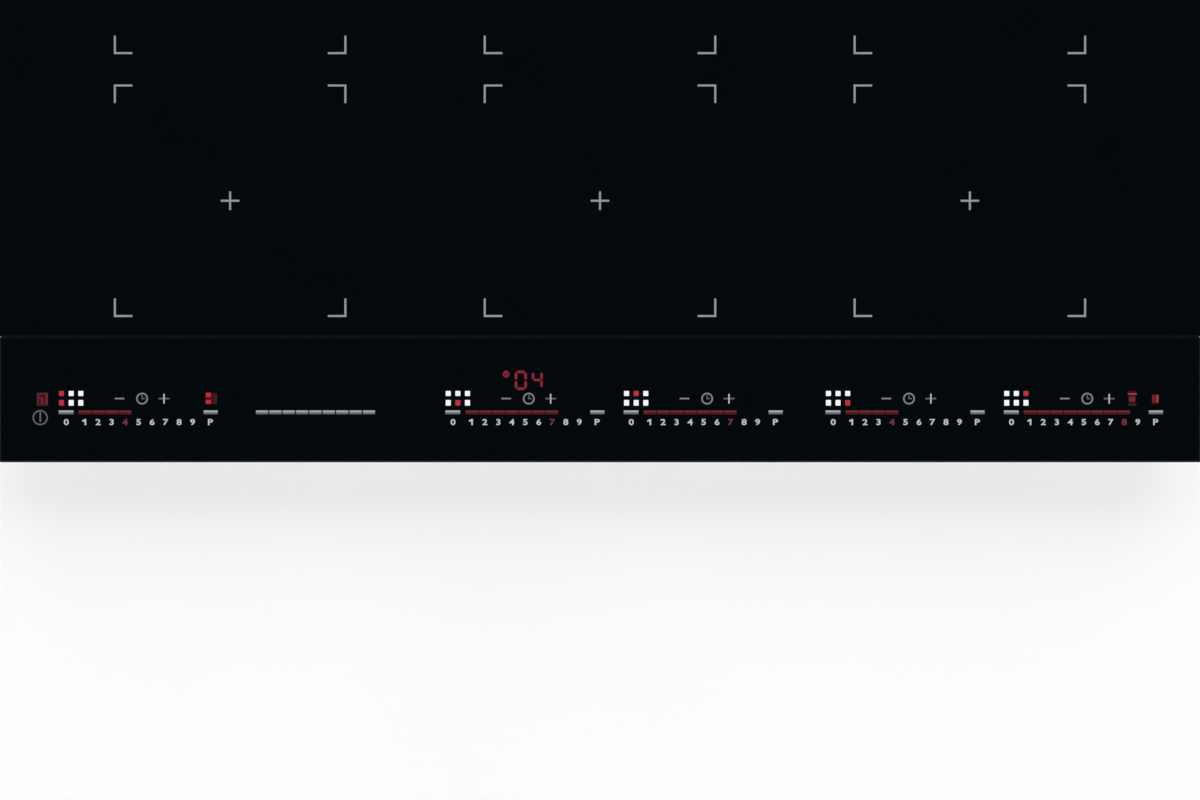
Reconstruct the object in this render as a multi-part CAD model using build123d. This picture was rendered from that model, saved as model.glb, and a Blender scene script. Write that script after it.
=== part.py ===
from build123d import *
import math
import os

# Built-in six-zone induction cooktop with a touch-control strip along the front edge.
# Frame: +X right, +Y away from the cook, +Z up. Origin: bottom centre of the casing. Millimetres.

# ---------------------------------------------------------------- driving dimensions
GLASS_W, GLASS_D, GLASS_T = 910.0, 520.0, 4.0      # glass-ceramic pane
GLASS_CORNER_R, GLASS_BEVEL = 1.5, 1.3             # plan corner radius, ground bevel
STRIP_D, PANE_GAP = 94.8, 0.4                      # depth of the control strip, joint behind it
Z_SEAT, SEAL_T = 50.0, 2.0                         # worktop plane above the casing bottom, foam seal
Z_GLASS = Z_SEAT + SEAL_T                          # underside of the glass
Z_TOP = Z_GLASS + GLASS_T
CASE_X, CASE_Y, SHEET = 436.0, 241.0, 1.0          # casing half sizes and sheet thickness
CUTOUT_X, CUTOUT_Y = 880.0, 490.0                  # worktop cut-out it drops into
MODULES = {"left": -280.0, "centre": 0.0, "right": 280.0}   # x of the three power modules
ZONE_Y = (-62.0, 137.0)                            # y of the front and rear coils
COIL_R, COIL_RI = 91.0, 25.0                       # winding radii
Z_PLATE, PLATE_T = 39.0, 1.5                       # coil carrier plate
CARRIER_TRAVEL = 4.0                               # how far a coil carrier can be pushed down
FAN_Y, FAN_R = 141.0, 38.5                         # blower centre and impeller radius
CLAMP_Y = (-180.0, 30.0)                           # y of the swivel clamps' screws
CLAMP_X, CLAMP_REACH = 424.0, 46.0
LID_HINGE_X, LID_HINGE_Z, LID_W = -400.0, 20.6, 18.4        # terminal lid: hinge axis and reach from it
MARK_L, MARK_W = 14.0, 1.5                         # zone marks: arm length and line width
BEND_R = 1.8                                       # outer bend radius along the casing's bottom edges
MM_PX = GLASS_W / 1200.0                           # layout unit of the strip: 1200 across its width


def bx(x0, x1, y0, y1, z0, z1):
    return Pos((x0 + x1) / 2, (y0 + y1) / 2, (z0 + z1) / 2) * Box(x1 - x0, y1 - y0, z1 - z0)


def cyl(x, y, z0, z1, r):
    return Pos(x, y, (z0 + z1) / 2) * Cylinder(r, z1 - z0)


def cyl_y(x, z, y0, y1, r):
    return Pos(x, (y0 + y1) / 2, z) * Rot(90, 0, 0) * Cylinder(r, y1 - y0)


def cyl_x(y, z, x0, x1, r):
    return Pos((x0 + x1) / 2, y, z) * Rot(0, 90, 0) * Cylinder(r, x1 - x0)


def ring(wo, do, wi, di, z0, z1, ro=2.0, ri=2.0):
    outer = extrude(Pos(0, 0, z0) * RectangleRounded(wo, do, ro), z1 - z0)
    inner = extrude(Pos(0, 0, z0 - 1) * RectangleRounded(wi, di, ri), z1 - z0 + 2)
    return outer - inner


def px(x):
    return (x - 600.0) * MM_PX


def py(y):
    return -GLASS_D / 2 + (462.0 - y) * MM_PX


parts = {}

# ---------------------------------------------------------------- glass, seal, frame
def glass_pane(y0, y1, bevel):
    pane = extrude(Pos(0, (y0 + y1) / 2, Z_GLASS) * RectangleRounded(GLASS_W, y1 - y0, GLASS_CORNER_R), GLASS_T)
    pane = chamfer(pane.faces().sort_by(Axis.Z)[-1].edges(), bevel)
    return chamfer(pane.faces().sort_by(Axis.Z)[0].edges(), 0.4)


Y_FRONT = -GLASS_D / 2
Y_STRIP = Y_FRONT + STRIP_D                        # rear edge of the control glass
parts["control_glass"] = glass_pane(Y_FRONT, Y_STRIP, GLASS_BEVEL)
parts["cooking_glass"] = glass_pane(Y_STRIP + PANE_GAP, GLASS_D / 2, 0.6)

parts["edge_seal"] = ring(904, 514, 885, 495, Z_SEAT, Z_GLASS, 4, 3)

frame_screws = [(x, s, "y") for x in (-380, -130, 130, 380) for s in (-1, 1)]
frame_screws += [(y, s, "x") for y in (-90, 90) for s in (-1, 1)]


def frame_screw(at, s, along, r_shank, r_head, gap=0.0):
    """One sheet-metal screw through the frame skirt and the casing wall."""
    z = 43.5
    if along == "y":
        o = s * (CASE_Y + 1.2)
        a, b = sorted((o - s * 4, o + s * gap))
        shank = cyl_y(at, z, a, b, r_shank)
        a, b = sorted((o, o + s * 1.6))
        head = cyl_y(at, z, a, b, r_head)
    else:
        o = s * (CASE_X + 1.2)
        a, b = sorted((o - s * 4, o + s * gap))
        shank = cyl_x(at, z, a, b, r_shank)
        a, b = sorted((o, o + s * 1.6))
        head = cyl_x(at, z, a, b, r_head)
    return shank, head


screw_holes = [frame_screw(at, s, al, 1.65, 3, gap=1)[0] for at, s, al in frame_screws]

frame = ring(882, 492, 864, 474, Z_GLASS - 1.0, Z_GLASS, 2, 2)
frame += bx(-433, 433, Y_STRIP - 6, Y_STRIP + 6.4, Z_GLASS - 1.0, Z_GLASS)      # bar under the glass joint
frame += ring(2 * CASE_X + 2.4, 2 * CASE_Y + 2.4, 2 * CASE_X + 0.4, 2 * CASE_Y + 0.4, 36, Z_GLASS - 1.0, 2, 1.2)
parts["top_frame"] = frame - screw_holes

# ---------------------------------------------------------------- casing tray with pressed pockets
CABLE = (-CASE_X, -384.0, 100.0, CASE_Y, 24.0)     # x0, x1, y0, y1, height of the mains pocket
pockets = [CABLE]
for s in (-1, 1):
    for y in CLAMP_Y:
        x0, x1 = sorted((s * 408.0, s * CASE_X))
        pockets.append((x0, x1, y - 12, y + 50, 14.0))
# pressed stiffening beads of the bottom
for x0, x1, y0, y1 in ((-146, -134, -110, 62), (134, 146, -110, 62), (-392, -168, -168, -160), (-112, 112, -168, -160),
                       (168, 392, -168, -160), (96, 184, 196, 204), (-184, -96, 196, 204)):
    pockets.append((x0, x1, y0, y1, 1.6))


def pocket_box(p, grow=0.0):
    x0, x1, y0, y1, h = p
    gx0 = x0 - grow if x0 > -CASE_X else x0 - 5
    gx1 = x1 + grow if x1 < CASE_X else x1 + 5
    gy0 = y0 - grow if y0 > -CASE_Y else y0 - 5
    gy1 = y1 + grow if y1 < CASE_Y else y1 + 5
    return bx(gx0, gx1, gy0, gy1, -5, h + grow)


outer = extrude(RectangleRounded(2 * CASE_X, 2 * CASE_Y, 2), Z_GLASS - 1.0)
inner = extrude(Pos(0, 0, SHEET) * RectangleRounded(2 * (CASE_X - SHEET), 2 * (CASE_Y - SHEET), 1), Z_GLASS)
outer = fillet(outer.faces().sort_by(Axis.Z)[0].edges(), BEND_R)
inner = fillet(inner.faces().sort_by(Axis.Z)[0].edges(), BEND_R - SHEET)
tray =(outer - [pocket_box(p) for p in pockets]) - (inner - [pocket_box(p, SHEET) for p in pockets])
cuts = []
for m in MODULES.values():                          # blower intake grilles
    for i in range(-5, 6):
        half = math.sqrt(36.0 ** 2 - (i * 6.6) ** 2) if abs(i * 6.6) < 36 else 0
        if half > 8:
            cuts.append(extrude(Pos(m + i * 6.6, FAN_Y, -1) * Rot(0, 0, 90) * SlotOverall(2 * half, 4.0), 3))
for r in range(3):                                  # warm-air outlet slots in the front wall
    for c in range(12):
        x = -385 + c * 70
        cuts.append(Pos(x, -CASE_Y - 2, 8 + 8 * r) * Rot(-90, 0, 0) * extrude(SlotOverall(58, 3.6), 5))
    for c in range(10):                             # the same slots in the rear wall
        cuts.append(Pos(-245 + c * 70, CASE_Y - 3, 8 + 8 * r) * Rot(-90, 0, 0) * extrude(SlotOverall(58, 3.6), 5))
    for y in (-90, -20):                            # and in the side walls, between the clamp pockets
        for s in (-1, 1):
            cuts.append(Pos(s * CASE_X - 2.5, y, 8 + 8 * r) * Rot(0, 90, 0) * Rot(0, 0, 90) * extrude(SlotOverall(58, 3.6), 5))
for s in (-1, 1):                                   # clamp screw holes in the pocket ceilings
    for y in CLAMP_Y:
        cuts.append(cyl(s * CLAMP_X, y, 12, 17, 3.1))
TB = (-431.0, -387.0, 113.0, 177.0)                 # opening under the terminal block
cuts.append(bx(TB[0], TB[1], TB[2], TB[3], 20, 30))
tray = tray - cuts - screw_holes
pillars = [(m + x, y) for m in MODULES.values() for x in (-110, 110) for y in (-132, 76)]
pillars += [(x, y) for x in (-214, -70) for y in (108, 204)]
tray += [cyl(x, y, SHEET - 0.2, 6, 3.2) for x, y in pillars]            # swaged board pillars
parts["casing"] = tray

# ---------------------------------------------------------------- control unit under the strip
tray = bx(-430, 430, -237.5, -176, 34, 36) + bx(-430, 430, -178, -176, 36, 46)
tray += [bx(-430, -428, -237.5, -176, 36, 46), bx(428, 430, -237.5, -176, 36, 46)]
for x in (-420, -140, 140, 420):
    tray += [bx(x - 3, x + 3, -236, -180, 36, 38)]
for x in (-390, -140, 140, 390):
    tray += [bx(x - 4, x + 4, -228, -220, SHEET, 34), bx(x - 4, x + 4, -190, -182, SHEET, 34)]
parts["control_carrier"] = tray
parts["control_board"] = bx(-426, 426, -237, -180, 38, 39.6)

CLUSTERS = [58.5, 235.0, 445.0, 623.0, 825.0, 1003.5]   # left edge of each zone's controls on the strip
mask = bx(-425, 425, -237, -184, 40.8, 51.6)
holes, leds, posts = [], [], []


def led(x, y):
    leds.append(Pos(px(x), py(y), 40.0) * Box(3.2, 1.6, 0.8))


for i, x0 in enumerate(CLUSTERS):
    holes.append(bx(px(x0 - 2), px(x0 + 163), py(428), py(408), 40, 53))
    for k in range(9):
        led(x0 + 27 + 13.45 * k, 412)
    led(x0 + 8, 412), led(x0 + 152.5, 412)
    for k in range(5):
        posts.append(cyl(px(x0 + 20 + 27 * k), py(423.5), 39.6, 51.9, 2.4))
    if i == 1:
        continue
    holes.append(bx(px(x0 - 2), px(x0 + 28.5), py(407.2), py(388), 40, 53))
    led(x0 + 13, 393.5), led(x0 + 13, 402.5)
    for dx in (61.5, 84.0, 106.5):
        holes.append(cyl(px(x0 + dx), py(398.7), 40, 53, 4.6))
        posts.append(cyl(px(x0 + dx), py(398.7), 39.6, 51.9, 2.4))
for x, y in ((42.5, 399), (40, 417.5), (209.5, 399), (1132.5, 398.5), (1155.5, 399)):
    holes.append(cyl(px(x), py(y), 40, 53, 5.2))
    posts.append(cyl(px(x), py(y), 39.6, 51.9, 2.4))
holes.append(bx(px(498), px(551), py(391.5), py(368), 40, 53))
parts["light_mask"] = mask - holes
parts["indicator_leds"] = leds
parts["touch_sensor_posts"] = posts
disp = bx(px(500), px(549), py(390), py(369.5), 39.6, 50.5)
disp -= [bx(px(512), px(528.5), py(389), py(370.5), 49.9, 51), bx(px(530), px(546), py(389), py(370.5), 49.9, 51)]
parts["timer_display"] = disp

# ---------------------------------------------------------------- three power modules
transistors, film_caps, chokes, motors = [], [], [], []
for name, m in MODULES.items():
    parts["power_board_" + name] = bx(m - 118, m + 118, -140, 84, 6, 7.6)
    hs = bx(m - 40, m + 40, -130, 72, 7.6, 11.6)
    hs += [bx(m - 40 + 8 * k, m - 38 + 8 * k, -130, 72, 11.6, 31) for k in range(10)]
    hs += bx(m + 38, m + 42, -130, 72, 7.6, 31)
    parts["heatsink_" + name] = hs
    for k in range(4):
        y = -105 + 46 * k
        transistors.append(bx(m + 42, m + 47, y - 8, y + 8, 10, 30))
    for k in range(3):
        y = -100 + 50 * k
        film_caps.append(fillet(bx(m - 104, m - 72, y - 9, y + 9, 7.6, 31).edges().filter_by(Axis.Z), 2))
    for k in range(2):
        c = cyl(m + 84, -80 + 90 * k, 7.6, 26, 17) - cyl(m + 84, -80 + 90 * k, 7, 27, 7)
        chokes.append(c)
    # centrifugal blower: scroll housing, fixed motor, impeller
    x, y = m, FAN_Y
    outer = cyl(x, y, SHEET, 33, 46) + bx(x - 46, x - 2, 92, y, SHEET, 33)
    outer += [bx(x + 40, x + 56, y - 6, y + 6, SHEET, 3.4), bx(x - 56, x - 40, y + 8, y + 20, SHEET, 3.4)]
    cavity = cyl(x, y, 3.6, 31.4, 43.5) + bx(x - 43.5, x - 4.5, 90, y, 3.6, 31.4)
    house = outer - cavity - cyl(x, y, 0, 4, 33)
    parts["fan_housing_" + name] = house
    motors.append(cyl(x, y, 15, 31.4, 11.5) - cyl(x, y, 14, 30, 1.56))
    rotor = cyl(x, y, 12, 30, 14.2) - cyl(x, y, 13.6, 31, 12.6)
    rotor += cyl(x, y, 13, 28.5, 1.5)
    rotor += cyl(x, y, 28.4, 30, FAN_R) - cyl(x, y, 28, 31, 13)
    rotor += cyl(x, y, 5.2, 7.2, FAN_R) - cyl(x, y, 5, 8, FAN_R - 3.5)
    blades = []
    for k in range(26):
        blades.append(Pos(x, y, 17.2) * Rot(0, 0, 360 / 26 * k) * Pos(FAN_R - 6.2, 0, 0) * Rot(0, 0, 38) * Box(10.5, 1.0, 23))
    rotor += blades
    rotor = rotor & cyl(x, y, 4, 32, FAN_R)
    parts["fan_rotor_" + name] = rotor
parts["transistors"] = transistors

# ---------------------------------------------------------------- coil carriers
rail_pins = []
for name, m in MODULES.items():
    plate = bx(m - 95, m + 95, -158, 232, Z_PLATE, Z_PLATE + PLATE_T)
    pins = [(m + sx * 86, y) for sx in (-1, 1) for y in (-152, 224)]
    rail_pins += pins
    plate -= [cyl(x, y, 30, 45, 2.7) for x, y in pins]
    plate -= [cyl(m + sx * 70, 37.5, 30, 45, 9) for sx in (-1, 1)]
    parts["coil_carrier_" + name] = plate
    formers, windings, ferrites, sensors = [], [], [], []
    z = Z_PLATE + PLATE_T
    mica = bx(m - 93, m + 93, -156, 230, 51.2, 51.9)
    for y in ZONE_Y:
        former = cyl(m, y, 44.5, 46.5, COIL_R + 2) + cyl(m, y, 46.5, 51.0, COIL_RI - 0.4)
        formers.append(former - cyl(m, y, 44, 52, 14))
        windings.append(cyl(m, y, 46.5, 51.1, COIL_R) - cyl(m, y, 46, 52, COIL_RI))
        for k in range(8):
            ferrites.append(Pos(m, y, z + 2) * Rot(0, 0, 45 * k + 22.5) * Pos(58, 0, 0) * Box(60, 14, 4))
        sensors.append(cyl(m, y, z, 51.85, 6.0))
        mica -= cyl(m, y, 51, 52, 8)
    parts["coil_formers_" + name] = formers
    parts["coil_windings_" + name] = windings
    parts["ferrite_bars_" + name] = ferrites
    parts["temperature_sensors_" + name] = sensors
    parts["mica_sheet_" + name] = mica
    springs = []
    for sx in (-1, 1):
        for y in (-152, 224):
            o = ThreePointArc((-32, 28.05), (0, Z_PLATE - 0.05), (32, 28.05))
            i = ThreePointArc((-31.0, 28.05), (0, Z_PLATE - 0.65), (31.0, 28.05))
            a, b = Line((-32, 28.05), (-31.0, 28.05)), Line((32, 28.05), (31.0, 28.05))
            face = make_face([o, i, a, b])
            strip = extrude(Plane.XZ * face, 5, both=True)
            springs.append(Pos(m + sx * 45, y, 0) * strip)
    parts["leaf_springs_" + name] = springs

front = bx(-390, 390, -158, -146, 26, 28) + [bx(x - 6, x + 6, -157, -147, SHEET, 26) for x in (-404 + 20, -140, 140, 384)]
rear = bx(-376, 390, 218, 230, 26, 28) + [bx(x - 6, x + 6, 219, 229, SHEET, 26) for x in (-370, -140, 140, 384)]
front += [cyl(x, y, 28, 46, 2.6) for x, y in rail_pins if y < 0]
rear += [cyl(x, y, 28, 46, 2.6) for x, y in rail_pins if y > 0]
parts["support_rails"] = [front, rear]

# ---------------------------------------------------------------- mains side
parts["filter_board"] = bx(-222, -62, 100, 212, 6, 7.6)
chokes.append(cyl(-105, 170, 7.6, 28, 24) - cyl(-105, 170, 7, 29, 10))
for k in range(3):
    film_caps.append(fillet(bx(-205 + 34 * k, -179 + 34 * k, 112, 130, 7.6, 29).edges().filter_by(Axis.Z), 2))
parts["film_capacitors"] = film_caps
parts["filter_chokes"] = chokes
parts["fan_motors"] = motors

# terminal box: sits on the pocket ceiling, its collar drops through the opening, the lid hinges below it;
# the lid is narrower than its hinge is high, so it swings fully open without reaching the casing's bottom plane
hx, hz = LID_HINGE_X, LID_HINGE_Z                   # lid hinge axis, along Y
box = bx(-434, -380, 108, 182, 25, 46)
box += bx(-430.6, -387.2, 113.4, 176.6, 22.2, 25)   # collar
box -= bx(hx - 3.4, hx + 3.0, 119.4, 170.6, 20, 23.6)                   # relief over the lid's barrel
box += [bx(hx - 3.2, hx + 1.6, y, y + 6, hz - 2.6, 25) for y in (113.4, 170.6)]     # hinge lugs
box -= [cyl(hx - 6.6, 122 + 11.5 * k, 20, 38, 2.6) for k in range(5)]   # screw wells
box -= [bx(hx - 15.8, hx - 11.0, 119.6 + 11.5 * k, 124.4 + 11.5 * k, 20, 34) for k in range(5)]     # wire entries
box += cyl_y(hx, hz, 113.4, 176.6, 1.2)             # hinge pin between the two lugs
parts["terminal_block"] = box
lid = bx(hx - LID_W, hx - 2.6, 111, 179, hz - 0.8, hz + 0.8)
lid -= [bx(hx - 4.4, hx + 8, y, y + 10, hz - 4, hz + 4) for y in (110, 170)]
lid += cyl_y(hx, hz, 120.4, 169.6, 2.2)
lid += bx(hx - 3.4, hx, 120.4, 169.6, hz - 0.8, hz + 0.8)
lid -= cyl_y(hx, hz, 100, 190, 1.26)
lid += bx(hx - LID_W, hx - LID_W + 2, 138, 152, hz - 3.8, hz - 0.8)     # finger tab
parts["terminal_lid"] = lid
clampb = bx(-428, -392, 196, 212, 4, 24)
clampb = fillet(clampb.edges().filter_by(Axis.Y).group_by(Axis.Z)[0], 5)
clampb -= cyl_y(-410, 13, 190, 220, 6.5)
parts["cable_clamp"] = clampb

# ---------------------------------------------------------------- swivel clamps and screws
clamp_screws = []
for sn, s in (("left", -1), ("right", 1)):
    for yn, y in (("front", CLAMP_Y[0]), ("rear", CLAMP_Y[1])):
        x = s * CLAMP_X
        arm = bx(x - 7, x + 7, y, y + CLAMP_REACH, 5, 8) + cyl(x, y, 5, 8, 7) + cyl(x, y, 8, 12.5, 5.5)
        arm += bx(x - 7, x + 7, y + CLAMP_REACH - 3, y + CLAMP_REACH, 8, 12.5)
        parts[f"swivel_clamp_{yn}_{sn}"] = arm - cyl(x, y, 0, 20, 3.06)
        screw = cyl(x, y, 4.6, 24, 3.0) + cyl(x, y, 1.0, 4.6, 5.2)
        screw -= extrude(Pos(x, y, 0.5) * RegularPolygon(2.6, 6), 2.6)
        nut = extrude(Pos(x, y, 15.05) * RegularPolygon(5.7, 6), 5) - cyl(x, y, 14, 22, 3.04)
        clamp_screws += [screw, nut]
parts["clamp_screws"] = clamp_screws
screws = []
for at, s, al in frame_screws:
    shank, head = frame_screw(at, s, al, 1.5, 3.0)
    screws.append(shank + head)
parts["frame_screws"] = screws

# ---------------------------------------------------------------- ceramic print on the glass
Z0, Z1 = Z_TOP, Z_TOP + 0.06
prints = []
for m in MODULES.values():
    for y in ZONE_Y:
        for sx in (-1, 1):
            for sy in (-1, 1):
                cx, cy = m + sx * 88, y + sy * 88
                x0, x1 = sorted((cx, cx - sx * MARK_L))
                y0, y1 = sorted((cy, cy - sy * MARK_L))
                yy = sorted((cy, cy - sy * MARK_W))
                xx = sorted((cx, cx - sx * MARK_W))
                prints.append(bx(x0, x1, yy[0], yy[1], Z0, Z1) + bx(xx[0], xx[1], y0, y1, Z0, Z1))
        h, w = MARK_L / 2, MARK_W / 2
        prints.append(bx(m - h, m + h, y - w, y + w, Z0, Z1) + bx(m - w, m + w, y - h, y + h, Z0, Z1))
for i, x0 in enumerate(CLUSTERS):
    if i != 1:
        for c in range(3):
            for r in range(2):
                xa, ya = x0 + 9.6 * c, 390.2 + 9.2 * r
                prints.append(bx(px(xa), px(xa + 6.9), py(ya + 6.9), py(ya), Z0, Z1))
        for a, b in ((0, 15.4), (145.2, 160.4)):
            prints.append(bx(px(x0 + a), px(x0 + b), py(414), py(410.2), Z0, Z1))
        xc, yc = x0 + 84.0, 398.7
        prints.append(cyl(px(xc), py(yc), Z0, Z1, 4.4) - cyl(px(xc), py(yc), Z0 - 1, Z1 + 1, 3.3))
    for k in range(9):
        a = x0 + 21.0 + 13.42 * k
        prints.append(bx(px(a), px(a + 12.0), py(414), py(410.2), Z0, Z1))
parts["surface_print"] = prints

# ---------------------------------------------------------------- write one file per piece
os.makedirs("parts", exist_ok=True)
for old in os.listdir("parts"):
    if old.endswith(".step") and old[:-5] not in parts:
        os.remove(os.path.join("parts", old))
for name, shape in parts.items():
    if isinstance(shape, (list, tuple)):
        solids = [s for piece in shape for s in piece.solids()]
        shape = Compound(solids)
    export_step(shape, os.path.join("parts", name + ".step"))
print(len(parts), "nodes")
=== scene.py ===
import math

import bmesh
import bpy
from mathutils import Matrix, Vector


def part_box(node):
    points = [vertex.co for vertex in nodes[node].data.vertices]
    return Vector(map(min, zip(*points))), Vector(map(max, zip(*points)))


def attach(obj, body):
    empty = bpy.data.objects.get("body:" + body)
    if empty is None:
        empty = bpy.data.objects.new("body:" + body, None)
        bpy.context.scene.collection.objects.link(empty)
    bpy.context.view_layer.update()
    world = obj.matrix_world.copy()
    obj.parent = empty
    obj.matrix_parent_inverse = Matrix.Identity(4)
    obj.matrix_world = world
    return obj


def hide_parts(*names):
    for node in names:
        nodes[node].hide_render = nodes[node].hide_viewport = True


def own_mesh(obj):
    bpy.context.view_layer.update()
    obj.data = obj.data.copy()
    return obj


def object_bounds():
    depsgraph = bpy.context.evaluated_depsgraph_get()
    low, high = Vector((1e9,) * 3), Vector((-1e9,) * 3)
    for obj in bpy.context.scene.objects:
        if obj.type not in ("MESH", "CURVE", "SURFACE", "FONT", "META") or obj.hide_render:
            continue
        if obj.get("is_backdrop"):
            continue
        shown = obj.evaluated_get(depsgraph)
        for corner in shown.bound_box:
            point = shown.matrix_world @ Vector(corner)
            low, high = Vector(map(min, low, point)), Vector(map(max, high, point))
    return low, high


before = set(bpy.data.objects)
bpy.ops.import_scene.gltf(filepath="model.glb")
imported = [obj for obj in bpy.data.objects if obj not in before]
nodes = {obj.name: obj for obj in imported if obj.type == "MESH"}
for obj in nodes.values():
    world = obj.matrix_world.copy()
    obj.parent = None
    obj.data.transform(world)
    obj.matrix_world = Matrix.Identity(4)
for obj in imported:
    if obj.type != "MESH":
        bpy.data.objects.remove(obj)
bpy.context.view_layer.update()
scene = bpy.context.scene
MM = 0.001

# ------------------------------------------------------------------ camera, straight down on the control strip
STRIP_W = 0.910 - 0.0016             # the strip spans the whole picture, 1200 units wide, which ends on its outer bevels
PX = STRIP_W / 1200.0
Z_TOP = 0.056
LENS = 140.0


def X(x):
    return (x - 600.0) * PX


def Y(y):
    return -0.260 + (462.3 - y) * PX


cam_data = bpy.data.cameras.new("camera")
cam_data.lens = LENS
cam_data.sensor_width = 36.0
cam_data.clip_start, cam_data.clip_end = 0.1, 200.0
cam = bpy.data.objects.new("camera", cam_data)
cam.location = (0.0, Y(400.0), Z_TOP + STRIP_W * LENS / 36.0)
cam.rotation_euler = (0.0, 0.0, 0.0)
scene.collection.objects.link(cam)
scene.camera = cam


# ------------------------------------------------------------------ material helpers
def srgb(r, g, b):
    f = lambda c: c / 12.92 if c <= 0.04045 else ((c + 0.055) / 1.055) ** 2.4
    return (f(r / 255.0), f(g / 255.0), f(b / 255.0), 1.0)


def new_mat(name):
    m = bpy.data.materials.new(name)
    m.use_nodes = True
    nt = m.node_tree
    nt.nodes.clear()
    out = nt.nodes.new("ShaderNodeOutputMaterial")
    b = nt.nodes.new("ShaderNodeBsdfPrincipled")
    nt.links.new(b.outputs["BSDF"], out.inputs["Surface"])
    return m, nt, b


def add(nt, kind, **values):
    n = nt.nodes.new(kind)
    for k, v in values.items():
        if k in n.inputs.keys():
            n.inputs[k].default_value = v
        else:
            setattr(n, k, v)
    return n


def coords(nt, scale=(1, 1, 1)):
    tc = add(nt, "ShaderNodeTexCoord")
    mp = add(nt, "ShaderNodeMapping")
    mp.inputs["Scale"].default_value = scale
    nt.links.new(tc.outputs["Object"], mp.inputs["Vector"])
    return mp.outputs["Vector"]


def noise(nt, vec, scale, detail=4.0, rough=0.5):
    n = add(nt, "ShaderNodeTexNoise", Scale=scale, Detail=detail, Roughness=rough)
    nt.links.new(vec, n.inputs["Vector"])
    return n.outputs["Fac"]


def voronoi(nt, vec, scale, feature="F1", out="Distance"):
    n = add(nt, "ShaderNodeTexVoronoi", Scale=scale)
    n.feature = feature
    nt.links.new(vec, n.inputs["Vector"])
    return n.outputs[out]


def remap(nt, fac, a, b, lo, hi):
    n = add(nt, "ShaderNodeMapRange")
    for i, v in zip(("From Min", "From Max", "To Min", "To Max"), (a, b, lo, hi)):
        n.inputs[i].default_value = v
    nt.links.new(fac, n.inputs["Value"])
    return n.outputs["Result"]


def ramp(nt, fac, *stops):
    n = add(nt, "ShaderNodeValToRGB")
    e = n.color_ramp.elements
    while len(e) < len(stops):
        e.new(0.5)
    for el, (p, c) in zip(e, stops):
        el.position = p
        el.color = c if len(c) == 4 else (*c, 1.0)
    nt.links.new(fac, n.inputs["Fac"])
    return n.outputs["Color"]


def bump(nt, b, height, strength, dist):
    n = add(nt, "ShaderNodeBump", Strength=strength, Distance=dist)
    nt.links.new(height, n.inputs["Height"])
    nt.links.new(n.outputs["Normal"], b.inputs["Normal"])


def tint(c, k):
    return tuple(min(1.0, v * k) for v in c[:3])


def plain(name, base, rough, metal=0.0, ior=1.5, spread=0.12, rough_spread=0.08, scale=90.0, bump_scale=None, bump_h=0.00003, stretch=(1, 1, 1), spec=0.5):
    """Moulded, cast or rolled surface: cloudy tone, uneven gloss and a fine relief."""
    m, nt, b = new_mat(name)
    v = coords(nt, stretch)
    f = noise(nt, v, scale)
    nt.links.new(ramp(nt, f, (0.3, tint(base, 1 - spread)), (0.7, tint(base, 1 + spread))), b.inputs["Base Color"])
    nt.links.new(remap(nt, noise(nt, v, scale * 2.3), 0.3, 0.7, max(0.02, rough - rough_spread), min(1, rough + rough_spread)), b.inputs["Roughness"])
    b.inputs["Metallic"].default_value = metal
    b.inputs["IOR"].default_value = ior
    b.inputs["Specular IOR Level"].default_value = spec
    if bump_scale:
        bump(nt, b, noise(nt, v, bump_scale, 3.0), 0.5, bump_h)
    return m


def glow(name, colour, base=(0.0015, 0.0015, 0.0015), fade=None, strength=1.0):
    """A lit mark under the glass surface; fade runs from the given colour at its lower edge to a brighter upper edge."""
    m, nt, b = new_mat(name)
    b.inputs["Roughness"].default_value = 0.05
    b.inputs["IOR"].default_value = 1.48
    b.inputs["Base Color"].default_value = (*base, 1.0)
    b.inputs["Emission Strength"].default_value = strength
    v = coords(nt)
    if fade:
        sep = add(nt, "ShaderNodeSeparateXYZ")
        nt.links.new(v, sep.inputs["Vector"])
        f = remap(nt, sep.outputs["Y"], fade[0], fade[1], 0.0, 1.0)
        c = ramp(nt, f, (0.0, colour), (0.5, fade[2]), (1.0, fade[3]))
    else:
        f = noise(nt, v, 900.0, 2.0)
        c = ramp(nt, f, (0.3, tint(colour, 0.94)), (0.7, tint(colour, 1.04)))
    nt.links.new(c, b.inputs["Emission Color"])
    return m


# ------------------------------------------------------------------ materials
M = {}


def glass_mat(name, base, rough, ior):
    m, nt, b = new_mat(name)
    v = coords(nt)
    f = noise(nt, v, 14.0, 5.0)
    nt.links.new(ramp(nt, f, (0.3, tint(base, 0.97)), (0.7, tint(base, 1.02))), b.inputs["Base Color"])
    wipe = noise(nt, coords(nt, (1.0, 4.0, 1.0)), 9.0, 6.0, 0.6)
    nt.links.new(remap(nt, wipe, 0.35, 0.75, rough, rough + 0.045), b.inputs["Roughness"])
    b.inputs["IOR"].default_value = ior
    return m


M["black_glass"] = glass_mat("black_glass", (0.0009, 0.0024, 0.0032), 0.03, 1.48)
# painted highlight: the bevels' base colour is set lighter than the glass's own black to stand in for the light their
# edges catch, while their own reflection is turned low
M["bevel_painted_highlight"] = plain("bevel_painted_highlight", (0.0068, 0.0096, 0.0108), 0.34, ior=1.3, scale=300, rough_spread=0.05, spec=0.06)
M["black_edge"] = plain("black_edge", (0.004, 0.007, 0.008), 0.16, ior=1.48, scale=200, stretch=(1, 1, 6))
M["zone_print"] = plain("zone_print", (0.26, 0.265, 0.27), 0.5, scale=700, spread=0.06)

M["seal"] = plain("seal_foam", (0.018, 0.018, 0.019), 0.85, scale=400, bump_scale=900, bump_h=0.0002)
M["frame"] = plain("aluminium_frame", (0.55, 0.56, 0.57), 0.34, 1.0, scale=60, stretch=(0.03, 1, 6), spread=0.1, bump_scale=220)


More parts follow.
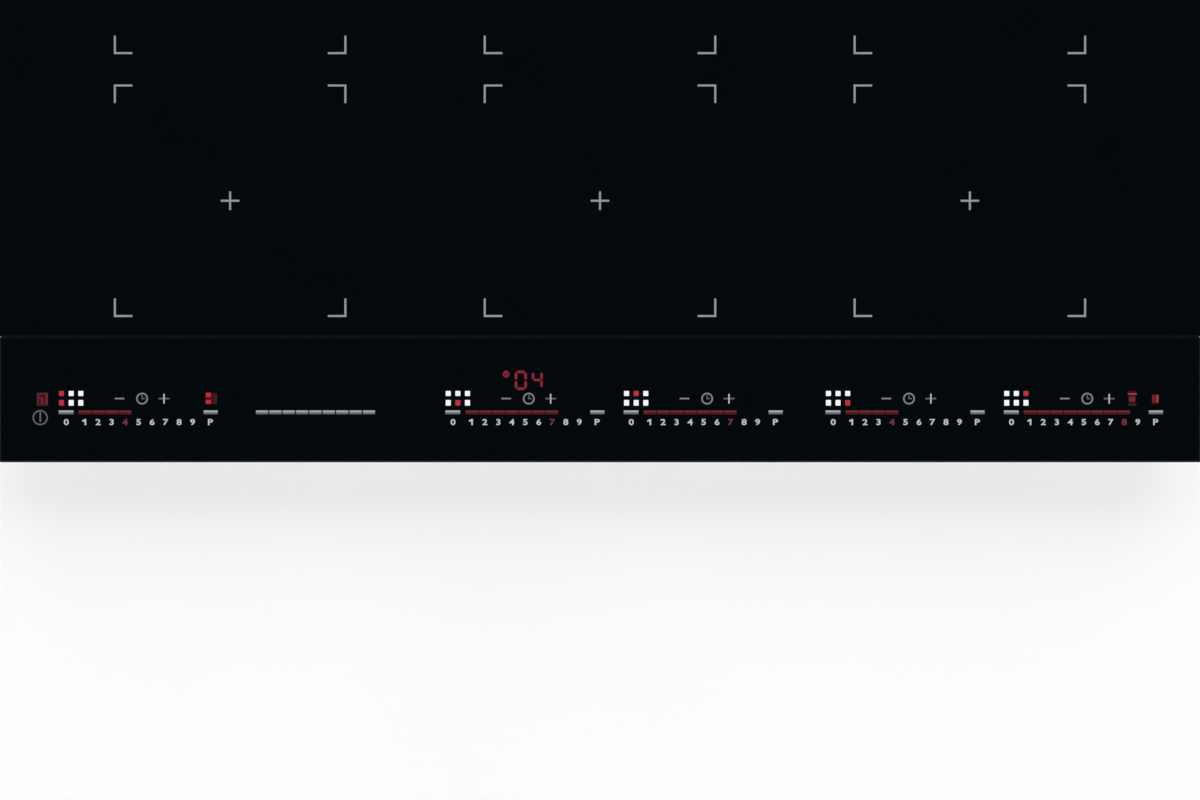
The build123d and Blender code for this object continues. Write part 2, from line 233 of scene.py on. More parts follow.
def galvanised(name):
    m, nt, b = new_mat(name)
    v = coords(nt)
    cell = add(nt, "ShaderNodeTexVoronoi", Scale=260.0)
    warp = noise(nt, v, 160.0, 3.0)
    mixv = add(nt, "ShaderNodeVectorMath")
    mixv.operation = "MULTIPLY_ADD"
    nt.links.new(warp, mixv.inputs[0])
    mixv.inputs[1].default_value = (0.003, 0.003, 0.003)
    nt.links.new(v, mixv.inputs[2])
    nt.links.new(mixv.outputs["Vector"], cell.inputs["Vector"])
    sep = add(nt, "ShaderNodeSeparateColor")
    nt.links.new(cell.outputs["Color"], sep.inputs["Color"])
    cloud = noise(nt, coords(nt, (1.0, 1.0, 0.35)), 22.0, 5.0)
    mix = add(nt, "ShaderNodeMix")
    mix.data_type = "RGBA"
    mix.blend_type = "MULTIPLY"
    mix.inputs["Factor"].default_value = 1.0
    nt.links.new(ramp(nt, sep.outputs["Red"], (0.0, (0.50, 0.52, 0.53)), (1.0, (0.60, 0.615, 0.625))), mix.inputs["A"])
    nt.links.new(ramp(nt, cloud, (0.3, (0.90, 0.90, 0.90)), (0.7, (1.0, 1.0, 1.0))), mix.inputs["B"])
    nt.links.new(mix.outputs["Result"], b.inputs["Base Color"])
    nt.links.new(remap(nt, sep.outputs["Green"], 0, 1, 0.33, 0.43), b.inputs["Roughness"])
    b.inputs["Metallic"].default_value = 1.0
    bump(nt, b, noise(nt, v, 420.0), 0.25, 0.00003)
    return m


M["zinc_sheet"] = galvanised("galvanised_sheet")
M["zinc"] = plain("zinc_steel", (0.60, 0.61, 0.62), 0.28, 1.0, scale=180, bump_scale=800, bump_h=0.00001)
M["black_plastic"] = plain("black_plastic", (0.022, 0.022, 0.024), 0.5, scale=120, bump_scale=2200, bump_h=0.00003)
M["grey_plastic"] = plain("grey_plastic", (0.17, 0.17, 0.18), 0.45, scale=120, bump_scale=2200, bump_h=0.00002)
M["natural_plastic"] = plain("natural_plastic", (0.66, 0.62, 0.52), 0.42, scale=100, bump_scale=1800, bump_h=0.00002, spread=0.05)
M["ferrite"] = plain("ferrite", (0.045, 0.045, 0.05), 0.55, scale=200, bump_scale=1500)
M["sensor"] = plain("sensor_ceramic", (0.80, 0.78, 0.72), 0.5, scale=200, spread=0.04)
M["epoxy"] = plain("component_epoxy", (0.015, 0.015, 0.016), 0.4, scale=300, bump_scale=2500)
M["cap"] = plain("capacitor_case", (0.05, 0.10, 0.28), 0.25, scale=150)
M["choke"] = plain("choke_core", (0.34, 0.15, 0.07), 0.35, scale=400, stretch=(1, 1, 0.1), bump_scale=500, bump_h=0.0003)
M["motor"] = plain("motor_metal", (0.42, 0.42, 0.43), 0.3, 1.0, scale=120, stretch=(1, 1, 12))
M["extrusion"] = plain("aluminium_extrusion", (0.62, 0.63, 0.64), 0.36, 1.0, scale=160, stretch=(6, 0.05, 6))
M["alu_sheet"] = plain("aluminium_sheet", (0.66, 0.67, 0.68), 0.32, 1.0, scale=120, stretch=(8, 0.05, 1))
M["spring"] = plain("spring_steel", (0.16, 0.18, 0.22), 0.25, 1.0, scale=200, stretch=(0.1, 4, 1))
M["foam"] = plain("conductive_foam", (0.04, 0.04, 0.042), 0.9, scale=500, bump_scale=1500, bump_h=0.0002)
M["led"] = plain("led_package", (0.80, 0.77, 0.66), 0.3, scale=500, spread=0.05)
M["display"] = plain("display_plastic", (0.03, 0.03, 0.033), 0.25, scale=200)


def pcb(name):
    m, nt, b = new_mat(name)
    v = coords(nt, (1, 1, 0.0))
    brick = add(nt, "ShaderNodeTexBrick", Scale=45.0)
    brick.inputs["Color1"].default_value = (0.010, 0.085, 0.035, 1)
    brick.inputs["Color2"].default_value = (0.014, 0.105, 0.045, 1)
    brick.inputs["Mortar"].default_value = (0.030, 0.17, 0.07, 1)
    brick.inputs["Mortar Size"].default_value = 0.035
    nt.links.new(v, brick.inputs["Vector"])
    dots = voronoi(nt, v, 130.0)
    mix = add(nt, "ShaderNodeMix")
    mix.data_type = "RGBA"
    nt.links.new(remap(nt, dots, 0.10, 0.13, 1.0, 0.0), mix.inputs["Factor"])
    nt.links.new(brick.outputs["Color"], mix.inputs["A"])
    mix.inputs["B"].default_value = (0.55, 0.50, 0.36, 1)
    nt.links.new(mix.outputs["Result"], b.inputs["Base Color"])
    nt.links.new(remap(nt, noise(nt, v, 70.0), 0.3, 0.7, 0.28, 0.42), b.inputs["Roughness"])
    return m


M["pcb"] = pcb("circuit_board")


def mica(name):
    m, nt, b = new_mat(name)
    v = coords(nt)
    n = add(nt, "ShaderNodeTexVoronoi", Scale=220.0)
    nt.links.new(v, n.inputs["Vector"])
    sep = add(nt, "ShaderNodeSeparateColor")
    nt.links.new(n.outputs["Color"], sep.inputs["Color"])
    nt.links.new(ramp(nt, sep.outputs["Red"], (0.0, (0.52, 0.44, 0.30)), (1.0, (0.70, 0.62, 0.46))), b.inputs["Base Color"])
    nt.links.new(remap(nt, sep.outputs["Green"], 0, 1, 0.25, 0.6), b.inputs["Roughness"])
    return m


M["mica"] = mica("mica")


def litz(name):
    m, nt, b = new_mat(name)
    v = coords(nt)
    w = noise(nt, v, 900.0, 2.0)
    nt.links.new(ramp(nt, w, (0.35, (0.30, 0.10, 0.04)), (0.65, (0.72, 0.30, 0.14))), b.inputs["Base Color"])
    b.inputs["Metallic"].default_value = 0.85
    nt.links.new(remap(nt, w, 0.3, 0.7, 0.42, 0.25), b.inputs["Roughness"])
    bump(nt, b, w, 0.8, 0.0002)
    return m


M["litz"] = litz("copper_litz")

LIT_WHITE = srgb(246, 249, 249)
LIT_RED = srgb(186, 49, 60)
M["lit_white"] = glow("lit_white", LIT_WHITE)
M["lit_red"] = glow("lit_red", LIT_RED)
M["lit_bar"] = glow("lit_bar", srgb(58, 61, 64), fade=(Y(414.6), Y(410.4), srgb(122, 125, 128), srgb(196, 198, 200)))
M["lit_slider"] = glow("lit_slider", srgb(62, 15, 16), fade=(Y(414.6), Y(410.4), srgb(94, 27, 28), srgb(110, 56, 57)))
M["lit_key"] = glow("lit_key", srgb(126, 128, 134))
M["lit_power"] = glow("lit_power", srgb(94, 99, 103))
M["lit_digit"] = glow("lit_digit", srgb(186, 190, 196))
M["lit_digit_red"] = glow("lit_digit_red", srgb(122, 42, 54))
M["lit_timer"] = glow("lit_timer", srgb(138, 38, 52))
M["lit_icon"] = glow("lit_icon", srgb(146, 58, 68))
M["lit_deep"] = glow("lit_deep", srgb(74, 12, 18))
M["lit_dim"] = glow("lit_dim", srgb(112, 40, 46))
M["lit_rust"] = glow("lit_rust", srgb(86, 44, 46))
M["lit_faint"] = glow("lit_faint", srgb(57, 34, 40))
M["lit_pause"] = glow("lit_pause", srgb(122, 25, 30))
M["lit_ember"] = glow("lit_ember", srgb(106, 5, 8))

# ------------------------------------------------------------------ mesh helpers


def mesh_obj(name, bm, mats, smooth=False):
    bmesh.ops.recalc_face_normals(bm, faces=bm.faces)
    me = bpy.data.meshes.new(name)
    bm.to_mesh(me)
    bm.free()
    for m in mats:
        me.materials.append(m)
    if smooth:
        for p in me.polygons:
            p.use_smooth = True
    o = bpy.data.objects.new(name, me)
    scene.collection.objects.link(o)
    return o


def rounded_rect(x0, x1, y0, y1, r, inset, n=6):
    pts = []
    r2 = max(r - inset, 0.00005)
    for cx, cy, a in ((x1 - r, y1 - r, 0), (x0 + r, y1 - r, 90), (x0 + r, y0 + r, 180), (x1 - r, y0 + r, 270)):
        ox = cx + (r - inset - r2) * (1 if a in (0, 270) else -1)
        oy = cy + (r - inset - r2) * (1 if a in (0, 90) else -1)
        for k in range(n + 1):
            t = math.radians(a + 90.0 * k / n)
            pts.append((ox + r2 * math.cos(t), oy + r2 * math.sin(t)))
    return pts


def pane(name, x0, x1, y0, y1, r, levels, mats):
    """levels: (inset, z, material of the band up to the next level)."""
    bm = bmesh.new()
    loops = []
    for inset, z, _ in levels:
        loops.append([bm.verts.new((x, y, z)) for x, y in rounded_rect(x0, x1, y0, y1, r, inset)])
    for (a, b), lv in zip(zip(loops, loops[1:]), levels):
        for i in range(len(a)):
            j = (i + 1) % len(a)
            bm.faces.new((a[i], a[j], b[j], b[i])).material_index = lv[2]
    bm.faces.new(list(reversed(loops[0]))).material_index = 1
    bm.faces.new(loops[-1]).material_index = 0
    return mesh_obj(name, bm, mats)


class Ink:
    """Thin marks on the glass, drawn in picture units."""

    def __init__(self):
        self.bm = bmesh.new()
        self.z0, self.z1 = Z_TOP - 0.00002, Z_TOP + 0.00004

    def poly(self, pts):
        lo = [self.bm.verts.new((X(x), Y(y), self.z0)) for x, y in pts]
        hi = [self.bm.verts.new((X(x), Y(y), self.z1)) for x, y in pts]
        self.bm.faces.new(hi)
        self.bm.faces.new(list(reversed(lo)))
        for i in range(len(pts)):
            j = (i + 1) % len(pts)
            self.bm.faces.new((lo[i], lo[j], hi[j], hi[i]))

    def rect(self, x0, x1, y0, y1, r=0.35):
        p = []
        for cx, cy, a in ((x1 - r, y1 - r, 0), (x0 + r, y1 - r, 90), (x0 + r, y0 + r, 180), (x1 - r, y0 + r, 270)):
            for k in range(4):
                t = math.radians(a + 30 * k)
                p.append((cx + r * math.cos(t), cy + r * math.sin(t)))
        self.poly(p)

    def ring(self, cx, cy, ro, ri, n=56):
        rows = []
        for r, z in ((ro, self.z0), (ro, self.z1), (ri, self.z1), (ri, self.z0)):
            rows.append([self.bm.verts.new((X(cx + r * math.cos(2 * math.pi * k / n)), Y(cy + r * math.sin(2 * math.pi * k / n)), z)) for k in range(n)])
        for a, b in zip(rows, rows[1:] + rows[:1]):
            for i in range(n):
                j = (i + 1) % n
                self.bm.faces.new((a[i], a[j], b[j], b[i]))

    def glyph(self, char, cx, y0, y1, widen=1.26, bold=0.024):
        cu = bpy.data.curves.new("glyph", "FONT")
        cu.body, cu.size, cu.offset, cu.resolution_u = char, 1.0, bold, 4
        ob = bpy.data.objects.new("glyph", cu)
        scene.collection.objects.link(ob)
        bpy.context.view_layer.update()
        me = bpy.data.meshes.new_from_object(ob.evaluated_get(bpy.context.evaluated_depsgraph_get()))
        vs = [v.co.copy() for v in me.vertices]
        lo = Vector((min(v.x for v in vs), min(v.y for v in vs), 0))
        hi = Vector((max(v.x for v in vs), max(v.y for v in vs), 0))
        s = (y1 - y0) / (hi.y - lo.y)
        part = bmesh.new()
        part.from_mesh(me)
        bmesh.ops.remove_doubles(part, verts=part.verts, dist=1e-5)
        ext = bmesh.ops.extrude_face_region(part, geom=part.faces[:])
        top = [g for g in ext["geom"] if isinstance(g, bmesh.types.BMVert)]
        for v in part.verts:
            v.co.z = self.z0
        for v in top:
            v.co.z = self.z1
        for v in part.verts:
            x = cx + (v.co.x - (lo.x + hi.x) / 2) * s * widen
            y = y1 - (v.co.y - lo.y) * s
            v.co.x, v.co.y = X(x), Y(y)
        tmp = bpy.data.meshes.new("glyph_part")
        part.to_mesh(tmp)
        part.free()
        self.bm.from_mesh(tmp)
        bpy.data.meshes.remove(tmp)
        bpy.data.meshes.remove(me)
        bpy.data.objects.remove(ob)
        bpy.data.curves.remove(cu)

    def make(self, name, mat):
        return mesh_obj(name, self.bm, [mat])


# ------------------------------------------------------------------ glass panes
lo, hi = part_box("control_glass")
glass = pane("control_glass_pane", lo.x, hi.x, lo.y, hi.y, 1.5 * MM,
             [(0.4 * MM, lo.z, 1), (0.0, lo.z + 0.4 * MM, 1), (0.0, hi.z - 1.36 * MM, 1), (0.07 * MM, hi.z - 1.2 * MM, 2),
              (1.2 * MM, hi.z - 0.07 * MM, 2), (1.36 * MM, hi.z, 0)], [M["black_glass"], M["black_edge"], M["bevel_painted_highlight"]])
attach(glass, "body")
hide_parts("control_glass")
lo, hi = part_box("cooking_glass")
field = pane("cooking_glass_pane", lo.x, hi.x, lo.y, hi.y, 1.5 * MM,
             [(0.4 * MM, lo.z, 1), (0.0, lo.z + 0.4 * MM, 1), (0.0, hi.z - 0.66 * MM, 1), (0.05 * MM, hi.z - 0.55 * MM, 2),
              (0.55 * MM, hi.z - 0.05 * MM, 2), (0.66 * MM, hi.z, 0)], [M["black_glass"], M["black_edge"], M["bevel_painted_highlight"]])
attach(field, "body")
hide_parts("cooking_glass")

# dark sealant in the joint between the panes, a little below the bevels
a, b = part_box("control_glass")[1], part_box("cooking_glass")[0]
bm = bmesh.new()
rows = []
n = 60
for k in range(n + 1):
    x = -a.x + 0.0006 + (2 * a.x - 0.0012) * k / n
    y0, y1, z0, z1 = a.y + 0.00003, b.y - 0.00003, a.z - 0.0036, a.z - 0.0019
    rows.append([bm.verts.new(p) for p in ((x, y0, z0), (x, y1, z0), (x, y1, z1), (x, (y0 + y1) / 2, z1 - 0.00012), (x, y0, z1))])
for p, q in zip(rows, rows[1:]):
    for i in range(5):
        j = (i + 1) % 5
        bm.faces.new((p[i], p[j], q[j], q[i]))
bm.faces.new(rows[0])
bm.faces.new(list(reversed(rows[-1])))
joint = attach(mesh_obj("pane_joint_sealant", bm, [M["seal"]]), "body")

# ------------------------------------------------------------------ marks of the control strip
ink = {k: Ink() for k in ("lit_white", "lit_red", "lit_bar", "lit_slider", "lit_key", "lit_power", "lit_digit", "lit_digit_red", "lit_timer", "lit_icon", "lit_deep", "lit_dim", "lit_rust", "lit_faint", "lit_pause", "lit_ember")}
GROUPS = [  # left edge, red squares (column, row), lit steps, red figure
    (58.3, {(0, 0), (0, 1)}, 4, 4),
    (445.0, {(1, 1)}, 7, 7),
    (623.3, {(1, 0)}, 7, 7),
    (825.2, {(2, 1)}, 4, 4),
    (1003.5, {(2, 0)}, 8, 8),
]
STEP, SEG = 13.36, 12.1
for g, red, steps, figure in GROUPS:
    for c in range(3):
        for r in range(2):
            x, (y, h) = g + 9.62 * c + 0.75, ((390.95, 5.0), (400.0, 5.6))[r]
            ink["lit_red" if (c, r) in red else "lit_white"].rect(x, x + 5.0, y, y + h)
    for a, b in ((0.4, 15.2), (145.3, 159.4)):
        ink["lit_bar"].rect(g + a, g + b, 410.5, 414.5)
    for k in range(steps):
        a = g + 20.4 + STEP * k
        ink["lit_slider"].rect(a, a + STEP - 0.7, 410.5, 414.6)
    for k in range(10):
        cx = g + 8.0 if k == 0 else g + 26.3 + 13.5 * (k - 1)
        i = ink["lit_digit_red" if k == figure else "lit_digit"]
        if k == 1:                                  # figure one: a stem with a flag
            i.poly([(cx - 2.2, 420.2), (cx + 0.2, 419.0), (cx + 1.6, 419.0), (cx + 1.6, 425.1), (cx - 0.1, 425.1), (cx - 0.1, 421.1), (cx - 2.2, 422.0)])
        else:
            i.glyph(str(k), cx, 419.0, 425.1)
    ink["lit_digit"].glyph("P", g + 152.2, 419.0, 425.1)
    cx, cy = g + 61.2, 398.6
    ink["lit_key"].rect(cx - 4.8, cx + 4.8, cy - 0.8, cy + 0.7, 0.3)
    cx = g + 83.8
    ink["lit_key"].ring(cx, cy, 5.9, 4.4)
    ink["lit_power"].poly([(cx - 0.6, cy + 0.6), (cx - 0.6, cy - 3.4), (cx + 0.6, cy - 3.4), (cx + 0.6, cy - 0.6), (cx + 2.8, cy - 0.6), (cx + 2.8, cy + 0.6)])
    cx = g + 105.7
    ink["lit_digit"].rect(cx - 0.65, cx + 0.65, cy - 4.8, cy + 5.0, 0.3)
    ink["lit_power"].rect(cx - 5.4, cx - 0.67, cy - 0.75, cy + 0.75, 0.2)
    ink["lit_power"].rect(cx + 0.67, cx + 5.4, cy - 0.75, cy + 0.75, 0.2)
for k in range(9):                                  # idle slider of the second group
    a = 256.0 + STEP * k
    ink["lit_bar"].rect(a, a + SEG, 410.5, 414.5)

# joined-zones sign of the first group: two squares on a darker field, with a bracket
ink["lit_red"].rect(205.8, 210.9, 392.7, 397.0, 0.2)
ink["lit_red"].rect(205.8, 210.9, 400.0, 403.9, 0.2)
ink["lit_ember"].rect(205.8, 210.9, 397.05, 399.95, 0.1)
ink["lit_deep"].rect(210.95, 214.9, 393.0, 404.2, 0.1)
ink["lit_faint"].rect(215.0, 217.0, 393.6, 403.8, 0.2)
# key lock: two nested frames on a darker field
ink["lit_rust"].rect(36.9, 47.9, 392.8, 394.6, 0.2)
ink["lit_dim"].rect(45.4, 47.9, 394.65, 403.75, 0.2)
ink["lit_faint"].rect(36.9, 47.9, 403.8, 405.9, 0.2)
ink["lit_rust"].rect(36.9, 38.5, 394.65, 403.75, 0.2)
ink["lit_dim"].rect(38.55, 43.2, 397.4, 398.9, 0.2)
ink["lit_dim"].rect(41.2, 43.2, 398.95, 403.75, 0.2)
ink["lit_deep"].rect(38.55, 45.35, 394.65, 397.35, 0.1)
ink["lit_deep"].rect(43.25, 45.35, 397.4, 403.75, 0.1)
ink["lit_deep"].rect(38.55, 41.15, 398.95, 403.75, 0.1)
# on and off
ink["lit_power"].ring(40.2, 417.6, 7.6, 6.2)
ink["lit_power"].rect(39.5, 41.1, 412.2, 421.8, 0.2)
# extractor sign and pause of the last group
ink["lit_deep"].rect(1127.9, 1136.7, 391.0, 392.9, 0.2)
ink["lit_icon"].rect(1127.9, 1136.7, 393.0, 394.9, 0.2)
ink["lit_deep"].rect(1129.2, 1135.7, 395.0, 396.7, 0.1)
ink["lit_dim"].rect(1128.8, 1135.3, 396.75, 401.4, 0.2)
ink["lit_deep"].rect(1129.0, 1135.5, 401.45, 403.7, 0.1)
ink["lit_faint"].rect(1127.9, 1136.7, 404.0, 405.7, 0.2)
ink["lit_pause"].rect(1152.0, 1155.5, 394.8, 402.6, 0.3)
ink["lit_icon"].rect(1156.0, 1158.6, 394.8, 402.6, 0.3)
ink["lit_deep"].rect(1152.0, 1158.4, 402.65, 404.0, 0.2)


def seven(digit, x0, x1, y0, y1, w):
    """Seven-bar figure, mitred bars with small gaps."""
    ym, g, h = (y0 + y1) / 2, 0.35, w / 2
    bars = {
        "a": ((x0 + h, y0 + h), (x1 - h, y0 + h)), "g": ((x0 + h, ym), (x1 - h, ym)), "d": ((x0 + h, y1 - h), (x1 - h, y1 - h)),
        "f": ((x0 + h, y0 + h), (x0 + h, ym)), "b": ((x1 - h, y0 + h), (x1 - h, ym)),
        "e": ((x0 + h, ym), (x0 + h, y1 - h)), "c": ((x1 - h, ym), (x1 - h, y1 - h))}
    for k in {0: "abcdef", 4: "fgbc"}[digit]:
        (ax, ay), (bx, by) = bars[k]
        if ay == by:
            ink["lit_timer"].poly([(ax + g, ay), (ax + g + h, ay - h), (bx - g - h, ay - h), (bx - g, ay), (bx - g - h, ay + h), (ax + g + h, ay + h)])
        else:
            ink["lit_timer"].poly([(ax, ay + g), (ax + h, ay + g + h), (ax + h, by - g - h), (ax, by - g), (ax - h, by - g - h), (ax - h, ay + g + h)])


seven(0, 514.6, 527.0, 370.5, 390.1, 2.8)
seven(4, 531.8, 542.7, 370.9, 389.0, 2.4)
ink["lit_timer"].ring(506.1, 374.1, 3.4, 1.6, 32)
ink["lit_timer"].rect(505.4, 506.8, 372.8, 375.4, 0.2)
marks = {}
for k, i in ink.items():
    marks[k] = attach(i.make("mark_" + k, M[k]), "body")
for k in marks:
    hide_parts("surface_print")

# quiet zone marks of the cooking field
bm = bmesh.new()


def field_box(x0, x1, y0, y1):
    z0, z1 = Z_TOP - 0.00002, Z_TOP + 0.00004
    vs = [bm.verts.new(p) for p in ((x0, y0, z0), (x1, y0, z0), (x1, y1, z0), (x0, y1, z0), (x0, y0, z1), (x1, y0, z1), (x1, y1, z1), (x0, y1, z1))]
    for f in ((3, 2, 1, 0), (4, 5, 6, 7), (0, 1, 5, 4), (1, 2, 6, 5), (2, 3, 7, 6), (3, 0, 4, 7)):
        bm.faces.new([vs[i] for i in f])


MARK_L, MARK_W = 0.014, 0.0015                      # arm length and line width
for mx in (-0.280, 0.0, 0.280):
    for my in (-0.062, 0.137):
        for sx in (-1, 1):
            for sy in (-1, 1):
                cx, cy = mx + sx * 0.088, my + sy * 0.088
                a, b = sorted((cx, cx - sx * MARK_L))
                c, d = sorted((cy, cy - sy * MARK_W))
                field_box(a, b, c, d)
                a, b = sorted((cx, cx - sx * MARK_W))
                c, d = sorted((cy - sy * MARK_W, cy - sy * MARK_L))
                field_box(a, b, c, d)
        h, w = MARK_L / 2, MARK_W / 2
        field_box(mx - h, mx + h, my - w, my + w)
        field_box(mx - w, mx + w, my + w, my + h)
        field_box(mx - w, mx + w, my - h, my - w)
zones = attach(mesh_obj("zone_marks", bm, [M["zone_print"]]), "body")
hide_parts("surface_print")

# ------------------------------------------------------------------ wound coils in place of the plain rings
for name, mx in (("left", -0.280), ("centre", 0.0), ("right", 0.280)):
    bm = bmesh.new()
    for my in (-0.062, 0.137):
        turns, n, sides = 14, 60, 8
        r0, r1, rt = 0.0275, 0.0887, 0.00225
        prev = None
        total = turns * n
        first = None
        for k in range(total + 1):
            t = k / total
            a = 2 * math.pi * turns * t
            r = r0 + (r1 - r0) * t
            c = Vector((mx + r * math.cos(a), my + r * math.sin(a), 0.0488))
            radial = Vector((math.cos(a), math.sin(a), 0))
            loop = [bm.verts.new(c + radial * (rt * math.cos(2 * math.pi * s / sides)) + Vector((0, 0, rt * math.sin(2 * math.pi * s / sides)))) for s in range(sides)]
            if prev:
                for s in range(sides):
                    q = (s + 1) % sides
                    bm.faces.new((prev[s], prev[q], loop[q], loop[s]))
            else:
                bm.faces.new(list(reversed(loop)))
            prev = loop
        bm.faces.new(prev)
    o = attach(mesh_obj("coil_winding_" + name, bm, [M["litz"]], True), "coils_" + name)
    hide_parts("coil_windings_" + name)

# ------------------------------------------------------------------ leaf springs, drawn in their arched shape; the real ones flatten as the coils are pressed down
for name, mx in (("left", -0.280), ("centre", 0.0), ("right", 0.280)):
    bm = bmesh.new()
    for sx in (-1, 1):
        for sy in (-0.152, 0.224):
            rows = []
            n = 28
            for k in range(n + 1):
                u = -1.0 + 2.0 * k / n
                rise = (1.0 - u * u) ** 0.9
                x = mx + sx * 0.045 + 0.0318 * u
                top = 0.02865 + 0.01030 * rise
                w = 0.0050 - 0.0008 * u ** 4                # the strip narrows at its rounded feet
                rows.append([bm.verts.new((x, sy - w, top - 0.0006)), bm.verts.new((x, sy + w, top - 0.0006)),
                             bm.verts.new((x, sy + w, top)), bm.verts.new((x, sy - w, top))])
            for a, b in zip(rows, rows[1:]):
                for i in range(4):
                    j = (i + 1) % 4
                    bm.faces.new((a[i], a[j], b[j], b[i]))
            bm.faces.new(rows[0])
            bm.faces.new(list(reversed(rows[-1])))
    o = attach(mesh_obj("leaf_spring_strips_" + name, bm, [M["spring"]]), "body")
    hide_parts("leaf_springs_" + name)
    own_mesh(o)

# ------------------------------------------------------------------ pan-head screws with a cross recess
bm = bmesh.new()


def cross_screw(place):
    """Head outside the origin plane, shank inside it, along the local Z axis."""
    n = 48
    shank = [(0.25, -4.0), (1.1, -3.4), (1.5, -3.0), (1.28, -2.75), (1.5, -2.5), (1.28, -2.25), (1.5, -2.0), (1.28, -1.75), (1.5, -1.5), (1.5, 0.0),
             (2.85, 0.0), (3.0, 0.12), (3.0, 0.55), (2.88, 0.85), (2.6, 1.14), (2.2, 1.36)]
    top = [2.0, 1.85, 1.75, 1.65, 1.5, 1.2, 0.9, 0.62, 0.5, 0.42, 0.34]
    loops = []
    for r, z in shank:
        loops.append([(r * math.cos(2 * math.pi * k / n), r * math.sin(2 * math.pi * k / n), z) for k in range(n)])
    for r in top:
        row = []
        for k in range(n):
            a = 2 * math.pi * k / n
            x, y = r * math.cos(a), r * math.sin(a)
            arm = min(abs(x), abs(y)) < 0.40 and r < 1.76
            z = 1.36 + 0.22 * (1 - (r / 2.2) ** 2)
            row.append((x, y, z - (1.0 * (1 - 0.45 * r / 1.76) if arm or r < 0.45 else 0.0)))
        loops.append(row)
    made = [[bm.verts.new(place @ Vector((x * MM, y * MM, z * MM))) for x, y, z in row] for row in loops]
    bm.faces.new(list(reversed(made[0])))
    for a, b in zip(made, made[1:]):
        for k in range(n):
            j = (k + 1) % n
            f = bm.faces.new((a[k], a[j], b[j], b[k]))
            f.smooth = True
    bm.faces.new(made[-1])


turn = 0.3
for x in (-0.380, -0.130, 0.130, 0.380):
    for s in (-1, 1):
        turn += 1.1
        out = Matrix.Rotation(math.radians(-90 * s), 4, "X")
        cross_screw(Matrix.Translation((x, s * 0.2422, 0.0435)) @ out @ Matrix.Rotation(turn, 4, "Z"))
for y in (-0.090, 0.090):
    for s in (-1, 1):
        turn += 1.1
        out = Matrix.Rotation(math.radians(90 * s), 4, "Y")
        cross_screw(Matrix.Translation((s * 0.4372, y, 0.0435)) @ out @ Matrix.Rotation(turn, 4, "Z"))
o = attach(mesh_obj("cross_screws", bm, [M["zinc"]]), "body")
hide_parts("frame_screws")

# ------------------------------------------------------------------ finishes of the carried-over pieces
FINISH = {
    "edge_seal": "seal", "top_frame": "frame", "casing": "zinc_sheet", "control_carrier": "black_plastic", "control_board": "pcb",
    "light_mask": "black_plastic", "indicator_leds": "led", "timer_display": "display", "touch_sensor_posts": "foam", "transistors": "epoxy",
    "film_capacitors": "cap", "filter_chokes": "choke", "fan_motors": "motor", "support_rails": "zinc_sheet", "filter_board": "pcb",
    "terminal_block": "natural_plastic", "terminal_lid": "black_plastic", "cable_clamp": "black_plastic", "clamp_screws": "zinc",
}
for name in ("left", "centre", "right"):
    FINISH.update({"power_board_" + name: "pcb", "heatsink_" + name: "extrusion", "fan_housing_" + name: "black_plastic", "fan_rotor_" + name: "grey_plastic",
                   "coil_carrier_" + name: "alu_sheet", "coil_formers_" + name: "natural_plastic", "ferrite_bars_" + name: "ferrite",
                   "temperature_sensors_" + name: "sensor", "mica_sheet_" + name: "mica"})
for a in ("front", "rear"):
    for b in ("left", "right"):
        FINISH["swivel_clamp_%s_%s" % (a, b)] = "zinc"
for n, k in FINISH.items():
    o = nodes[n]
    if not o.data.materials:
        o.data.materials.append(M[k])
    for i in range(len(o.material_slots)):
        o.material_slots[i].link = "OBJECT"
        o.material_slots[i].material = M[k]

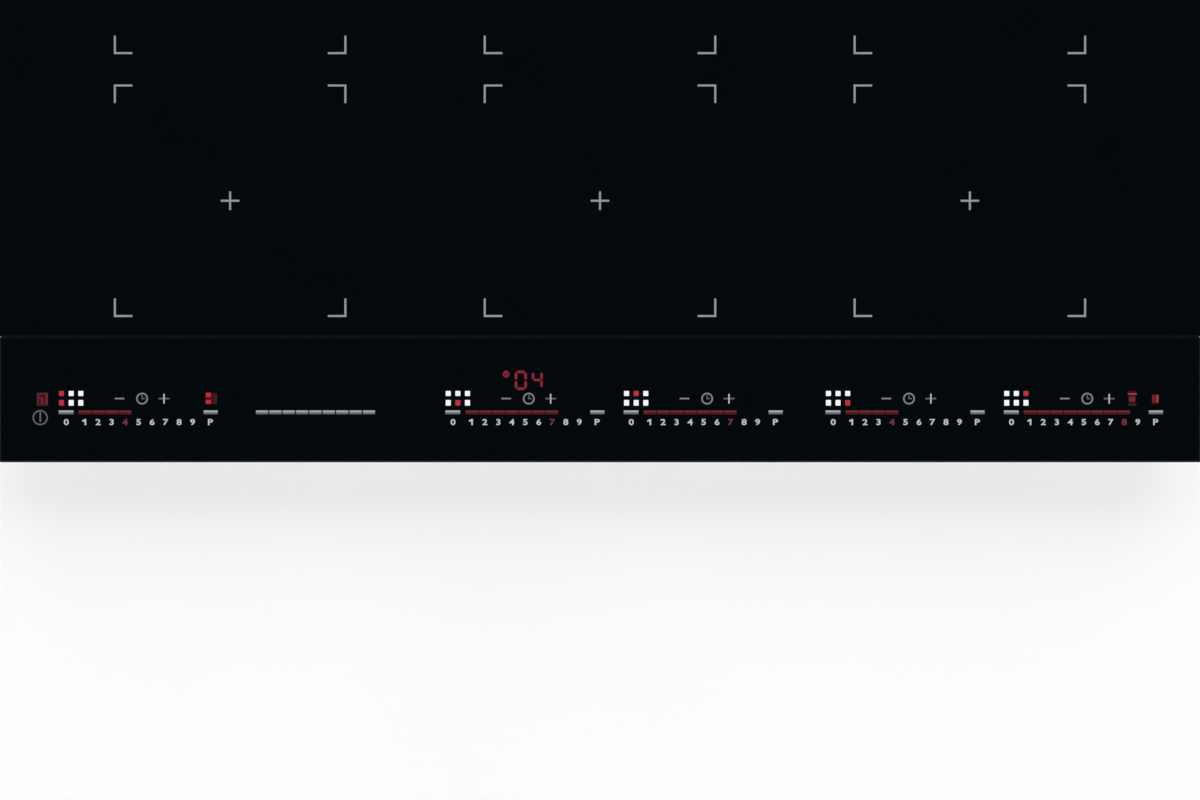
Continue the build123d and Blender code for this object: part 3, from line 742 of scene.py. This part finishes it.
# ------------------------------------------------------------------ floor, light, world
bm = bmesh.new()
for x, y in ((-40, -40), (40, -40), (40, 40), (-40, 40)):
    bm.verts.new((x, y, 0.0))
bm.faces.new(bm.verts)
fm, nt, b = new_mat("floor")
f = noise(nt, coords(nt), 3.0, 3.0)
nt.links.new(ramp(nt, f, (0.3, (0.86, 0.86, 0.86)), (0.7, (0.88, 0.88, 0.88))), b.inputs["Base Color"])
b.inputs["Roughness"].default_value = 0.9
floor = mesh_obj("floor", bm, [fm])
floor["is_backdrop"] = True

world = bpy.data.worlds.new("studio")
scene.world = world
world.use_nodes = True
nt = world.node_tree
nt.nodes.clear()
out = nt.nodes.new("ShaderNodeOutputWorld")
bg = nt.nodes.new("ShaderNodeBackground")
nt.links.new(bg.outputs["Background"], out.inputs["Surface"])
tc = nt.nodes.new("ShaderNodeTexCoord")
sep = nt.nodes.new("ShaderNodeSeparateXYZ")
nt.links.new(tc.outputs["Generated"], sep.inputs["Vector"])
# the surround is pale at the horizon and falls off evenly to a dark ceiling
sky = ramp(nt, sep.outputs["Z"], (0.0, (0.97, 0.97, 0.97)), (0.05, (0.90, 0.90, 0.90)), (0.12, (0.56, 0.56, 0.56)), (0.20, (0.36, 0.36, 0.365)),
           (0.30, (0.26, 0.26, 0.265)), (0.45, (0.20, 0.20, 0.205)), (0.68, (0.12, 0.12, 0.122)), (0.86, (0.035, 0.035, 0.036)), (0.96, (0.006, 0.006, 0.006)))
nt.links.new(sky, bg.inputs["Color"])


def sun(name, towards, strength, spread):
    d = bpy.data.lights.new(name, "SUN")
    d.energy, d.angle = strength, math.radians(spread)
    o = bpy.data.objects.new(name, d)
    o.location = Vector(towards) * 4.0
    o.rotation_euler = (-Vector(towards)).to_track_quat("-Z", "Y").to_euler()
    o.visible_glossy = False            # the polished glass mirrors the surround, not the lamps' outlines
    scene.collection.objects.link(o)


sun("key", (-0.45, -0.55, 0.75), 2.20, 50)
sun("fill", (0.65, -0.45, 0.65), 1.60, 60)
sun("back", (0.10, 0.80, 0.60), 1.00, 60)

scene.view_settings.view_transform = "Standard"
scene.view_settings.look = "None"
scene.view_settings.exposure = 0.0

lo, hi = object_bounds()
